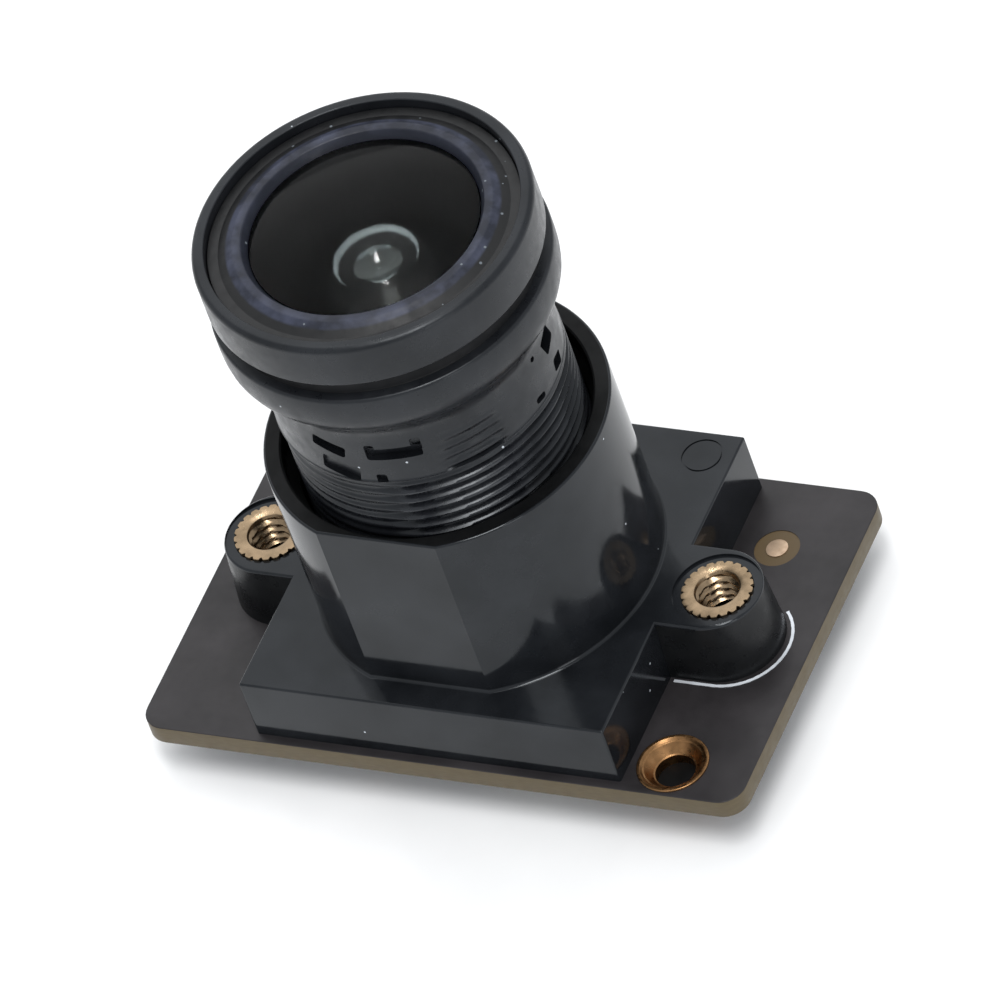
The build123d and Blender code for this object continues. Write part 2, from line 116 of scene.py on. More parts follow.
def add_softbox(name, azimuth, elevation, distance, size, power):
    """A rectangular soft light that faces the module, seen from it at this azimuth and elevation."""
    a, e = math.radians(azimuth), math.radians(elevation)
    away = Vector((math.sin(a) * math.cos(e), -math.cos(a) * math.cos(e), math.sin(e)))
    data = bpy.data.lights.new(name, "AREA")
    data.shape = "RECTANGLE"
    data.size, data.size_y = size
    data.energy = power
    lamp = bpy.data.objects.new(name, data)
    lamp.location = away * distance + Vector((0, 0, HOLDER_TOP / 2))
    lamp.rotation_euler = away.to_track_quat("Z", "Y").to_euler()
    bpy.context.scene.collection.objects.link(lamp)


def add_world():
    """White tent: greyer at the horizon and at the top."""
    world = bpy.data.worlds.new("tent")
    bpy.context.scene.world = world
    world.use_nodes = True
    nodes, links = world.node_tree.nodes, world.node_tree.links
    nodes.clear()
    out = nodes.new("ShaderNodeOutputWorld")
    background = nodes.new("ShaderNodeBackground")
    ramp = nodes.new("ShaderNodeValToRGB")
    split = nodes.new("ShaderNodeSeparateXYZ")
    where = nodes.new("ShaderNodeTexCoord")
    links.new(where.outputs["Generated"], split.inputs[0])
    links.new(split.outputs["Z"], ramp.inputs[0])
    links.new(ramp.outputs[0], background.inputs["Color"])
    links.new(background.outputs[0], out.inputs["Surface"])
    low_end, high_end = ramp.color_ramp.elements
    low_end.position, low_end.color = 0.0, (0.55, 0.565, 0.58, 1)
    high_end.position, high_end.color = 1.0, (0.51, 0.525, 0.54, 1)
    between = ramp.color_ramp.elements.new(0.45)
    between.color = (0.74, 0.76, 0.785, 1)


def plain_colours():
    """A white floor shows white and a black part shows black."""
    view = bpy.context.scene.view_settings
    view.view_transform = "Standard"
    view.look = "None"


def add_floor():
    half = 1.5
    mesh = bpy.data.meshes.new("floor")
    mesh.from_pydata(
        [(-half, -half, 0), (half, -half, 0), (half, half, 0), (-half, half, 0)], [], [(0, 1, 2, 3)]
    )
    floor = bpy.data.objects.new("floor", mesh)
    bpy.context.scene.collection.objects.link(floor)
    paint = Look("floor_paper", (0.95, 0.95, 0.95), 0.9)
    paint.tint(paint.noise(0.004, 3), 0.02)
    mesh.materials.append(paint.material)


# ---- materials -----------------------------------------------------------------------------
class Look:
    """A Principled material whose patterns are laid out in object space, in metres."""

    def __init__(self, name, colour, roughness, **sockets):
        self.material = bpy.data.materials.new(name)
        self.material.use_nodes = True
        self.tree = self.material.node_tree
        self.shader = self.tree.nodes["Principled BSDF"]
        self.colour = (*colour, 1)
        self.shader.inputs["Base Color"].default_value = self.colour
        self.shader.inputs["Roughness"].default_value = roughness
        for socket, value in sockets.items():
            self.shader.inputs[socket.replace("_", " ")].default_value = value
        self.where = self.tree.nodes.new("ShaderNodeTexCoord").outputs["Object"]
        self.paint = None
        self.relief = None

    def node(self, kind, **settings):
        made = self.tree.nodes.new(kind)
        for key, value in settings.items():
            setattr(made, key, value)
        return made

    def link(self, start, end):
        self.tree.links.new(start, end)

    def stretched(self, stretch):
        """Object coordinates squeezed along each axis, for grain that runs one way."""
        scale = self.node("ShaderNodeVectorMath", operation="MULTIPLY")
        self.link(self.where, scale.inputs[0])
        scale.inputs[1].default_value = stretch
        return scale.outputs[0]

    def noise(self, size, detail=2, stretch=None):
        """Noise from 0 to 1 with features of this size, in metres."""
        made = self.node("ShaderNodeTexNoise")
        made.inputs["Scale"].default_value = 1 / size
        made.inputs["Detail"].default_value = detail
        self.link(self.stretched(stretch) if stretch else self.where, made.inputs["Vector"])
        return made.outputs["Fac"]

    def specks(self, spacing, share, size=0.05):
        """1 in a small round speck in this share of the cells, else 0. Size is a part of the spacing."""
        cells = self.node("ShaderNodeTexVoronoi")
        cells.inputs["Scale"].default_value = 1 / spacing
        self.link(self.where, cells.inputs["Vector"])
        near = self.node("ShaderNodeMath", operation="LESS_THAN")
        self.link(cells.outputs["Distance"], near.inputs[0])
        near.inputs[1].default_value = size
        pick = self.node("ShaderNodeSeparateColor")
        self.link(cells.outputs["Color"], pick.inputs[0])
        few = self.node("ShaderNodeMath", operation="LESS_THAN")
        self.link(pick.outputs[0], few.inputs[0])
        few.inputs[1].default_value = share
        return self.times(near.outputs[0], few.outputs[0])

    def remap(self, value, low_end, high_end, start=0, end=1):
        """Remaps values between the two ends to the range from start to end."""
        made = self.node("ShaderNodeMapRange")
        self.link(value, made.inputs["Value"])
        made.inputs["From Min"].default_value = low_end
        made.inputs["From Max"].default_value = high_end
        made.inputs["To Min"].default_value = start
        made.inputs["To Max"].default_value = end
        return made.outputs[0]

    def spread(self, noise, start, end):
        """Stretches noise, which seldom leaves its middle range, to the range from start to end."""
        return self.remap(noise, 0.3, 0.7, start, end)

    def times(self, value, other):
        made = self.node("ShaderNodeMath", operation="MULTIPLY")
        self.link(value, made.inputs[0])
        self.link(other, made.inputs[1])
        return made.outputs[0]

    def mix(self, factor, colour):
        """Paints this colour over what is there, where factor is 1."""
        made = self.node("ShaderNodeMix", data_type="RGBA")
        self.link(factor, made.inputs[0])
        if self.paint is None:
            made.inputs[6].default_value = self.colour
        else:
            self.link(self.paint, made.inputs[6])
        made.inputs[7].default_value = (*colour, 1)
        self.paint = made.outputs[2]
        self.link(self.paint, self.shader.inputs["Base Color"])

    def tint(self, value, amount):
        """Lightens and darkens the base colour by this share."""
        lighter = [min(1, c * (1 + 2 * amount) + 0.01 * amount) for c in self.colour[:3]]
        self.mix(self.spread(value, 0, 1), lighter)

    def beyond(self, radius, blend=0.05, start=0, end=1):
        """Goes from start to end where the distance to the optical axis passes this, in millimetres."""
        flat = self.node("ShaderNodeVectorMath", operation="LENGTH")
        self.link(self.stretched((1, 1, 0)), flat.inputs[0])
        return self.remap(flat.outputs["Value"], (radius - blend) * MM, (radius + blend) * MM, start, end)

    def rough(self, value, start, end):
        self.link(self.spread(value, start, end), self.shader.inputs["Roughness"])

    def bump(self, value, depth):
        """Raises the surface by up to depth, in metres, over whatever relief is there."""
        made = self.node("ShaderNodeBump")
        made.inputs["Distance"].default_value = depth
        self.link(value, made.inputs["Height"])
        if self.relief is not None:
            self.link(self.relief, made.inputs["Normal"])
        self.relief = made.outputs[0]
        self.link(self.relief, self.shader.inputs["Normal"])


def moulded(name, colour, roughness, dust=0.0, grain=0.0006, depth=4e-7, uneven=0.5, **sockets):
    """Injection-moulded plastic: slow ripples, a fine grain and, if wanted, dust."""
    look = Look(name, colour, roughness, **sockets)
    look.tint(look.noise(0.0025, 4), uneven)
    look.rough(look.noise(grain, 4), roughness * 0.75, roughness * 1.3)
    if depth:
        look.bump(look.noise(0.0018, 2), depth * 8)
        look.bump(look.noise(0.00009, 3), depth)
    if dust:
        look.mix(look.specks(0.001, dust), (0.5, 0.54, 0.58))
    return look.material


def ring_material():
    """Blue-grey conical ring, darker towards its inner edge, with a darker, greyer outer step."""
    look = Look("ring_black", (0.009, 0.0115, 0.022), 0.4, Specular_IOR_Level=0.35)
    look.mix(look.spread(look.noise(0.0009, 4), -0.4, 1.3), (0.039, 0.045, 0.074))
    look.mix(look.beyond(5.0, 0.22, 1, 0), (0.010, 0.012, 0.020))
    look.mix(look.beyond(5.6), (0.0085, 0.0088, 0.0095))
    look.rough(look.noise(0.0005, 4), 0.32, 0.54)
    look.bump(look.noise(0.00012, 3), 2e-6)
    look.bump(look.noise(0.0009, 3), 6e-6)
    look.mix(look.specks(0.0006, 0.5, 0.1), (0.15, 0.17, 0.19))
    return look.material


def metal(name, colour, roughness, grain=(1, 1, 1)):
    look = Look(name, colour, roughness, Metallic=1.0)
    look.tint(look.noise(0.0005, 4), -0.18)
    look.rough(look.noise(0.0002, 4, grain), roughness * 0.7, roughness * 1.4)
    look.bump(look.noise(0.00008, 3, grain), 3e-7)
    return look.material


MASK = 0.026  # thickness of the solder mask, in millimetres


def board_material():
    """Dark solder mask over tan laminate, which shows at the cut edges and in the mask's window."""
    look = Look("solder_mask", (0.0108, 0.0092, 0.0102), 0.45, Specular_IOR_Level=0.4)
    look.tint(look.noise(0.003, 5), 0.6)
    split = look.node("ShaderNodeSeparateXYZ")
    look.link(look.where, split.inputs[0])
    height = split.outputs["Z"]
    below_mask = look.remap(height, BOARD_TOP - 0.028 * MM, BOARD_TOP - MASK * MM, 1, 0)
    above_mask = look.node("ShaderNodeMath", operation="GREATER_THAN")
    look.link(height, above_mask.inputs[0])
    above_mask.inputs[1].default_value = BOARD_BOTTOM + MASK * MM
    laminate = look.times(below_mask, above_mask.outputs[0])
    look.mix(laminate, (0.108, 0.082, 0.040))
    plies = look.noise(0.00022, 3, (0.4, 0.4, 3))
    look.mix(look.times(look.spread(plies, 0, 0.6), laminate), (0.068, 0.050, 0.026))
    near_top = look.remap(height, BOARD_TOP - 0.036 * MM, BOARD_TOP - 0.032 * MM)
    look.mix(look.times(near_top, laminate), (0.098, 0.064, 0.026))
    look.rough(look.noise(0.0004, 3), 0.4, 0.5)
    look.bump(look.noise(0.0014, 3), 1.2e-6)
    look.bump(look.noise(0.00012, 2), 8e-7)
    look.mix(look.specks(0.001, 0.2), (0.3, 0.32, 0.34))
    return look.material


def glass(name, tint=(1, 1, 1), bending=1.6, blur=0.0, **sockets):
    look = Look(name, tint, blur, Transmission_Weight=1.0, IOR=bending, **sockets)
    look.tint(look.noise(0.003, 2), 0.02)
    return look.material


MATERIALS = {}
PAINTED_COOL_TINT = (0.92, 0.965, 1.0, 1)  # painted light: reflections of the black plastic are tinted a little blue, standing in for cool light


# painted light: plastics made here get reflections tinted blue for cool light
def cool_lit_plastic(name, colour, roughness, shine, **settings):
    return moulded(name, colour, roughness, Specular_IOR_Level=shine, Specular_Tint=PAINTED_COOL_TINT, **settings)


def make_materials():
    MATERIALS.update(
        holder=cool_lit_plastic("holder_plastic", (0.0050, 0.0058, 0.0072), 0.11, 0.35, dust=0.2),
        # painted shade: a darker, duller black for the bore's walls and the eyelet plugs, where shade falls
        bore=moulded("bore_painted_shade", (0.0026, 0.0028, 0.003), 0.4, Specular_IOR_Level=0.1),
        lug=moulded("lug_plastic", (0.0046, 0.005, 0.0056), 0.3, Specular_IOR_Level=0.2),
        lens=cool_lit_plastic("lens_black", (0.0050, 0.0057, 0.0073), 0.31, 0.34, dust=0.15),
        # painted shade: a darker, duller black for the groove between the lens rings, standing in for the
        # shade in it
        groove=moulded("groove_black", (0.004, 0.0043, 0.0052), 0.42, Specular_IOR_Level=0.14),
        cone=ring_material(),
        flat_black=moulded("flat_black", (0.0016, 0.0016, 0.0018), 0.7, depth=0, Specular_IOR_Level=0.0),
        # painted sheen: a shinier, lighter copy of the lens black, laid where the thread's highlight falls
        burnished=cool_lit_plastic("burnished_black", (0.0052, 0.0058, 0.0078), 0.25, 0.48),
        baffle=moulded("baffle_black", (0.0019, 0.0019, 0.0024), 0.5, Specular_IOR_Level=0.03),
        # painted highlight: a light grey for the baffle's lip, standing in for the bright arc that light
        # makes there
        edge_grey=moulded("painted_lip_highlight", (0.22, 0.235, 0.25), 0.4),
        board=board_material(),
        gold=metal("gold_plate", (0.38, 0.205, 0.09), 0.3),
        copper=metal("bare_copper", (0.62, 0.46, 0.325), 0.45),
        brass=metal("brass", (0.40, 0.29, 0.182), 0.22),
        steel=metal("screw_steel", (0.55, 0.55, 0.57), 0.3),
        tin=metal("tin", (0.68, 0.68, 0.69), 0.35),
        solder=metal("solder", (0.58, 0.58, 0.60), 0.22),
        contact=metal("contact_gold", (0.8, 0.58, 0.25), 0.25),
        lid=metal("lid_metal", (0.66, 0.63, 0.55), 0.3, (6, 1, 1)),
        ink=moulded("white_ink", (0.43, 0.45, 0.48), 0.6),
        ceramic=moulded("ceramic", (0.55, 0.51, 0.44), 0.6),
        silicon=metal("silicon", (0.22, 0.26, 0.34), 0.12),
        ivory=moulded("connector_plastic", (0.66, 0.60, 0.48), 0.4),
        brown=moulded("latch_plastic", (0.035, 0.025, 0.021), 0.35),
        epoxy=moulded("chip_epoxy", (0.014, 0.014, 0.0155), 0.55),
        tan=moulded("capacitor_ceramic", (0.36, 0.24, 0.14), 0.45),
        glaze=moulded("resistor_glaze", (0.013, 0.013, 0.016), 0.3),
        lens_glass=glass("optical_glass"),
        coated_glass=glass(
            "front_coated_glass",
            (0.88, 0.92, 0.9),
            1.06,
            0.28,
            Coat_Weight=1.0,
            Coat_Roughness=0.03,
            Coat_IOR=1.16,
        ),
        inner_glass=glass("inner_coated_glass", (0.8, 0.86, 0.88), 1.36),
        filter_glass=glass("filter_glass", (0.75, 0.5, 0.6)),
    )


# ---- mesh tools ----------------------------------------------------------------------------
def new_piece(name, mesh, body, slot, look, *nodes, crease=30):
    """Links a finished mesh, in metres, as a visible piece that stands for these CAD nodes."""
    piece = bpy.data.objects.new(name, mesh)
    bpy.context.scene.collection.objects.link(piece)
    finish_piece(piece, body, slot, look, *nodes, crease=crease)
    return piece


def finish_piece(piece, body, slot, look, *nodes, crease=30):
    mesh = piece.data
    mesh.materials.clear()
    mesh.materials.append(MATERIALS[look])
    mesh.polygons.foreach_set("use_smooth", [True] * len(mesh.polygons))
    mesh.set_sharp_from_angle(angle=math.radians(crease))
    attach(piece, body)
    if nodes:
        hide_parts(*nodes)


def inlaid(mesh, look, chosen):
    """Gives another look to the faces whose centre, in millimetres above the board, passes the test."""
    mesh.materials.append(MATERIALS[look])
    for face in mesh.polygons:
        centre = (face.center - Vector((0, 0, BOARD_TOP))) / MM
        if chosen(centre, centre.xy.length):
            face.material_index = len(mesh.materials) - 1


def loose_object(name, mesh):
    """An object that takes part in modelling only."""
    made = bpy.data.objects.new(name, mesh)
    bpy.context.scene.collection.objects.link(made)
    return made


def applied(piece):
    """Replaces the piece's mesh by what its modifiers make of it."""
    depsgraph = bpy.context.evaluated_depsgraph_get()
    result = bpy.data.meshes.new_from_object(piece.evaluated_get(depsgraph))
    piece.modifiers.clear()
    piece.data = result
    return piece


def bevelled(piece, width, segments, chosen=lambda ends: True):
    """Rounds the edges of 40 degrees or more whose ends, in millimetres, pass the test."""
    mesh = bmesh.new()
    mesh.from_mesh(piece.data)
    edges = [
        e
        for e in mesh.edges
        if e.is_manifold
        and e.calc_face_angle() > math.radians(40)
        and chosen([v.co / MM for v in e.verts])
    ]
    bmesh.ops.bevel(
        mesh,
        geom=edges,
        offset=width * MM,
        segments=segments,
        profile=0.5,
        affect="EDGES",
        clamp_overlap=True,
    )
    mesh.to_mesh(piece.data)
    mesh.free()
    return piece


def combined(piece, *others, operation="DIFFERENCE"):
    """Cuts the others from the piece, or joins them to it, and removes them."""
    for other in others:
        step = piece.modifiers.new("combine", "BOOLEAN")
        step.operation = operation
        step.solver = "EXACT"
        step.object = other
        applied(piece)
        bpy.data.objects.remove(other)
    return piece


def surface_mesh(name, rows, closed_rows, closed_columns, caps=True):
    """A mesh from rows of points. A row that is one point closes to a fan."""
    verts, index = [], []
    for row in rows:
        index.append(list(range(len(verts), len(verts) + len(row))))
        verts.extend(row)
    faces = []
    spans = list(zip(index, index[1:]))
    if closed_columns:
        spans.append((index[-1], index[0]))
    for a, b in spans:
        n = max(len(a), len(b))
        for i in range(n if closed_rows else n - 1):
            j = (i + 1) % n
            corners = [a[i % len(a)], a[j % len(a)], b[j % len(b)], b[i % len(b)]]
            unique = list(dict.fromkeys(corners))
            if len(unique) > 2:
                faces.append(unique)
    if caps and not closed_columns:
        for row, turn in ((index[0], -1), (index[-1], 1)):
            if len(row) > 2:
                faces.append(row[::turn])
    mesh = bpy.data.meshes.new(name)
    mesh.from_pydata(verts, [], faces)
    tidy = bmesh.new()
    tidy.from_mesh(mesh)
    bmesh.ops.recalc_face_normals(tidy, faces=tidy.faces)
    tidy.to_mesh(mesh)
    tidy.free()
    return mesh


def round_row(radius_at, height_at, segments, centre=(0, 0)):
    """Points round an upright axis, from functions of the angle, in millimetres above the board."""
    row = []
    for i in range(segments):
        angle = TAU * i / segments
        radius = radius_at(angle)
        x = centre[0] + radius * math.cos(angle)
        y = centre[1] + radius * math.sin(angle)
        row.append((x * MM, y * MM, BOARD_TOP + height_at(angle) * MM))
    return row


def plain_row(radius, height, segments, centre=(0, 0)):
    return round_row(lambda angle: radius, lambda angle: height, segments, centre)


def on_axis(height, centre=(0, 0)):
    """A row of one point, which closes a round shape."""
    return [(centre[0] * MM, centre[1] * MM, BOARD_TOP + height * MM)]


def lathe(name, profile, centre=(0, 0), segments=192, closed=True):
    """Turns a profile of (radius, height) points in millimetres, heights above the board's top."""
    rows = [
        on_axis(height, centre) if radius < 1e-6 else plain_row(radius, height, segments, centre)
        for radius, height in profile
    ]
    return surface_mesh(name, rows, True, closed)


def rounded_profile(points, radii, steps=4):
    """A profile whose corners are rounded; a radius of 0 leaves a corner sharp."""
    smooth = []
    n = len(points)
    for i, (point, radius) in enumerate(zip(points, radii)):
        here = Vector(point)
        if radius == 0:
            smooth.append(tuple(here))
            continue
        before = (Vector(points[i - 1]) - here).normalized()
        after = (Vector(points[(i + 1) % n]) - here).normalized()
        half = before.angle(after) / 2
        reach = radius / math.tan(half)
        start, end = here + before * reach, here + after * reach
        centre = here + (before + after).normalized() * (radius / math.sin(half))
        for k in range(steps + 1):
            t = k / steps
            arm = (start - centre).lerp(end - centre, t).normalized() * radius
            smooth.append(tuple(centre + arm))
    return smooth


def prism(name, outline, bottom, top):
    """Extrudes an outline of (x, y) points in millimetres between two heights above the board."""
    rows = [[(x * MM, y * MM, BOARD_TOP + z * MM) for x, y in outline] for z in (bottom, top)]
    return surface_mesh(name, rows, True, False)


def arc(centre, radius, start, end, steps):
    """Points on an arc, with angles in degrees."""
    points = []
    for i in range(steps + 1):
        a = math.radians(start + (end - start) * i / steps)
        points.append((centre[0] + radius * math.cos(a), centre[1] + radius * math.sin(a)))
    return points


def rounded_box(size, corner, centre=(0, 0), steps=8):
    """Outline of a rectangle with round corners."""
    x, y = size[0] / 2 - corner, size[1] / 2 - corner
    points = []
    for sx, sy, start in ((1, 1, 0), (-1, 1, 90), (-1, -1, 180), (1, -1, 270)):
        place = (centre[0] + sx * x, centre[1] + sy * y)
        points += arc(place, corner, start, start + 90, steps)
    return points


# ---- lens ----------------------------------------------------------------------------------
THREAD_RADIUS = 5.98
THREAD_DEPTH = 0.3
THREAD_PITCH = 0.5
THREAD_BOTTOM = 5.4
THREAD_TOP = 14.1
NECK_RADIUS = 5.95
WORN_SIDE = -122  # these three are sides of the lens, in degrees from the board's right
SHEEN_SIDE = -50
FAINT_SIDE = -43


def thread_radius(height, angle, crest, depth, pitch):
    """Radius of a 60 degree thread at this height and angle, from crest down to crest - depth."""
    phase = (height / pitch - angle / TAU) % 1
    ridge = abs(phase - 0.5) * 2
    return crest - depth * min(1, max(0, (ridge - 0.18) / 0.6))


def threaded_row(height, crest, depth, pitch, segments, centre=(0, 0)):
    return round_row(
        lambda angle: thread_radius(height, angle, crest, depth, pitch),
        lambda angle: height,
        segments,
        centre,
    )


def near_side(angle, side, half_width, blend):
    """1 within this many degrees of a side of the lens, falling to 0 over the blend."""
    aside = abs(math.degrees(angle) - 360 - side)
    return min(1, max(0, (half_width - aside) / blend))


def worn_row(height, crest, depth, segments):
    """A row of the lens thread, which is shallower on the front left."""

    def radius_at(angle):
        worn = 0.7 * near_side(angle, WORN_SIDE, 50, 14)
        left = depth * (1 - worn)
        return thread_radius(height, angle, crest - 0.5 * worn * depth, left, THREAD_PITCH)

    return round_row(radius_at, lambda angle: height, segments)


def faint_row(height, segments):
    """A row of the neck, with the last turns of thread only on the front right."""

    def radius_at(angle):
        share = near_side(angle, FAINT_SIDE, 14, 6) * max(0, 1 - (height - THREAD_TOP) / 2.6)
        return thread_radius(height, angle, NECK_RADIUS, 0.2 * share, THREAD_PITCH)

    return round_row(radius_at, lambda angle: height, segments)


def steps_between(start, end, step):
    count = max(1, round((end - start) / step))
    return [start + (end - start) * i / count for i in range(count + 1)]


def pocket(angle, height, width, tall, slant=0, deep=0.4):
    """A round-cornered block that cuts one pocket in the neck. Angle and slant in degrees."""
    outline = rounded_box((width, tall), 0.12, steps=4)
    rows = [[(x, y, z) for x, y in outline] for z in (-deep, 0.5)]
    mesh = surface_mesh("pocket", rows, True, False)
    face_out = Matrix(((0, 0, 1), (1, 0, 0), (0, 1, 0))).to_4x4()
    place = (
        Matrix.Translation((0, 0, BOARD_TOP + height * MM))
        @ Matrix.Rotation(math.radians(angle), 4, "Z")
        @ Matrix.Translation((NECK_RADIUS * MM, 0, 0))
        @ Matrix.Rotation(math.radians(slant), 4, "X")
        @ Matrix.Scale(MM, 4)
    )
    mesh.transform(place @ face_out)
    return loose_object("pocket", mesh)


def burnished(at, radius):
    """Turns at the front right that take a shinier, lighter copy of the lens black, as painted sheen where
    the thread's highlight falls, with an uneven limit.
    """
    aside = abs(math.degrees(math.atan2(at.y, at.x)) - SHEEN_SIDE)
    return at.z < THREAD_TOP - 0.1 and radius > 5.5 and aside < 26 + 3 * math.sin(11 * at.z)


# angle, height, width, tall, slant and depth of each pocket
RIGHT_POCKETS = (
    (6.5, 16.4, 0.95, 0.95, 20),
    (-6.4, 16.7, 0.25, 0.25, 0, 0.2),
    (9, 14.9, 0.8, 0.6, -12, 0.25),
    (-9, 14.75, 0.6, 0.3, -8, 0.2),
)
FRONT_POCKETS = (
    (-100.5, 16.15, 1.5, 0.62, -16),
    (-73.5, 16.0, 2.3, 0.62),
    (-82.5, 16.28, 0.42, 0.5),
    (-64, 16.34, 0.42, 0.7),
    (-98, 14.95, 1.7, 0.85, -14, 0.22),
    (-81.5, 14.6, 0.45, 0.5, 0, 0.25),
)


def lens_barrel():
    segments = 240
    rows = [plain_row(4.6, THREAD_BOTTOM, segments), plain_row(5.65, THREAD_BOTTOM, segments)]
    fade = 0.35
    for height in steps_between(THREAD_BOTTOM + 0.1, THREAD_TOP + fade, THREAD_PITCH / 10):
        share = min(1, max(0, (THREAD_TOP + fade - height) / fade))
        start = min(1, (height - THREAD_BOTTOM) / fade)
        depth = THREAD_DEPTH * share
        crest = THREAD_RADIUS - (1 - start) * THREAD_DEPTH
        rows.append(worn_row(height, crest, depth * start, segments))
    for height in steps_between(THREAD_TOP + fade + 0.05, 16.6, THREAD_PITCH / 10):
        rows.append(faint_row(height, segments))
    outer = [(NECK_RADIUS, 17.0)]
    outer += [(5.99, 17.25), (6.12, 17.6), (6.33, 17.9), (6.62, 18.2), (6.85, 18.5), (6.97, 18.8)]
    outer += [(7.01, 19.1), (7.02, 19.4), (7.02, 20.14), (6.98, 20.26), (6.9, 20.3)]
    outer += [(6.56, 20.3), (6.5, 20.36), (6.5, 21.15), (6.4, 21.15), (6.4, 22.2)]
    inner = [(5.35, 22.2), (5.35, 15.6), (3.0, 15.6), (3.0, 15.0), (4.2, 15.0), (4.2, 6.6), (4.6, 6.6)]
    rows += [plain_row(r, z, segments) for r, z in outer + inner]
    barrel = loose_object("lens_barrel_body", surface_mesh("lens_barrel_body", rows, True, True))
    cutters = [pocket(*size) for size in RIGHT_POCKETS]
    for turn in (0, 160):
        cutters += [pocket(angle + turn, *size) for angle, *size in FRONT_POCKETS]
    combined(barrel, *cutters)
    finish_piece(barrel, "lens_body", "lens_black", "lens", "lens_barrel", crease=50)
    # painted shade: the groove's faces take the darker groove black
    inlaid(barrel.data, "groove", lambda at, radius: 20.2 < at.z < 22 and radius < 6.7)
    # painted sheen on the front-right turns of the thread
    inlaid(barrel.data, "burnished", burnished)


def lens_rings():
    top = LENS_FRONT / MM - BOARD_TOP / MM
    points = [(6.43, 21.15), (6.97, 21.15), (6.97, top), (6.43, top)]
    ring = lathe("front_ring_rim", rounded_profile(points, (0, 0.12, 0.26, 0.06), 6), segments=256)
    new_piece("front_ring_rim", ring, "lens_body", "lens_black", "lens", "front_ring")

    points = [(4.74, 22.3), (6.4, 22.3), (6.4, 22.78), (5.95, 22.78)]
    points += [(5.3, 23.08), (4.96, 23.1), (4.74, 22.72)]
    outline = rounded_profile(points, (0, 0, 0.04, 0.1, 0.25, 0.1, 0.02), 5)
    ring = lathe("retaining_cone", outline, segments=256)
    new_piece("retaining_cone", ring, "lens_body", "ring_black", "cone", "front_retaining_ring")


def dome(radius, rim, top, steps):
    """Points of a spherical cap from its rim to the axis."""
    rise = top - rim
    sphere = (radius**2 + rise**2) / (2 * rise)
    span = math.asin(radius / sphere)
    return [
        (sphere * math.sin(span * (1 - i / steps)), top - sphere + sphere * math.cos(span * (1 - i / steps)))
        for i in range(steps + 1)
    ]


def front_optics():
    """The front glass with blackened edges, and the ribbed baffle seen through it."""
    lower = dome(3.7, 19.42, 21.22, 24)[::-1]
    upper = dome(4.7, 22.75, 23.45, 24)
    side = [(5.33, 19.42), (5.33, 22.18), (4.7, 22.18)]
    mesh = lathe("front_glass_body", lower + side + upper, segments=192, closed=False)
    new_piece("front_glass_body", mesh, "optical_stack", "optical_glass", "coated_glass", "front_glass")
    inlaid(mesh, "flat_black", lambda at, radius: radius > 3.68 and at.z < 22.74)

    cone = [(3.7, 18.9)]
    ribs, run, rise, tooth = 9, 1.84, 1.7, 0.02
    for i in range(ribs):
        share = (i + 0.5) / ribs
        cone.append((3.7 - run * share, 18.9 + rise * share + 0.05))
        cone.append((3.7 - run * share - tooth, 18.9 + rise * share - 0.04))
    lip = [(1.83, 20.66), (1.78, 20.76), (1.72, 20.8), (1.6, 20.58)]
    shelf = [(1.55, 20.5), (1.0, 20.47), (0.98, 20.0), (1.8, 19.9)]
    profile = [(1.8, 18.4), (5.33, 18.4), (5.33, 18.9)] + cone + lip + shelf
    mesh = lathe("ribbed_baffle", profile, segments=160)
    new_piece("ribbed_baffle", mesh, "optical_stack", "lens_black", "baffle", "front_spacer", crease=50)
    # painted highlight: a light grey band on the inner lip gives the bright arc
    inlaid(mesh, "edge_grey", lambda at, radius: 1.62 < radius < 1.7 and at.z > 20.65)

    shell = dome(0.97, 20.2, 20.15, 16)[::-1] + dome(0.99, 20.5, 20.34, 16)
    mesh = lathe("inner_element", shell, segments=128, closed=False)
    new_piece("inner_element", mesh, "optical_stack", "optical_glass", "inner_glass")


# ---- lens holder ---------------------------------------------------------------------------
HOLDER_RADIUS = 7.15
HOLDER_FLAT = 6.65
BASE_TOP = 3.0
EAR_CENTRE = 9.75
EAR_RADIUS = 2.15
BASE_SIZE = (16.2, 15.9)
MOUTH_STEP = -82  # degrees
INSERT_RADIUS = 1.5
INSERT_PLACE = 10


def holder_top():
    return (HOLDER_TOP - BOARD_TOP) / MM


def base_block():
    x, y = BASE_SIZE[0] / 2, BASE_SIZE[1] / 2
    block = prism("base", [(x, -y), (x, 0), (x, y), (-x, y), (-x, 0), (-x, -y)], 0, BASE_TOP)
    above_foot = BOARD_TOP / MM + 1
    shell = loose_object("holder_shell", block)
    return bevelled(shell, 0.1, 6, lambda ends: any(p.z > above_foot for p in ends))


def quarter_round(radius):
    """How far in and up the points of a rounded top edge lie, from its foot."""
    turns = [math.radians(15 * i) for i in range(7)]
    return [(radius * (1 - math.cos(turn)), radius * math.sin(turn)) for turn in turns]


def ear(side):
    """Round-ended lug that tapers upwards, with a rounded top edge."""
    edge, spread = 0.12, 0.22
    sizes = [(EAR_RADIUS + spread, 0), (EAR_RADIUS, BASE_TOP - edge)]
    for inward, up in quarter_round(edge)[1:]:
        sizes.append((EAR_RADIUS - inward, BASE_TOP - edge + up))
    rows = []
    for radius, z in sizes:
        outline = [(7, -radius)] + arc((EAR_CENTRE, 0), radius, -90, 90, 60) + [(7, radius)]
        rows.append([(side * x * MM, y * MM, BOARD_TOP + z * MM) for x, y in outline])
    return loose_object("ear", surface_mesh("ear", rows, True, False))


def tube_outline(radius, flat, steps=180):
    """Circle with a flat on its front."""
    half = math.degrees(math.acos(flat / radius))
    return arc((0, 0), radius, -90 + half, 270 - half, steps)


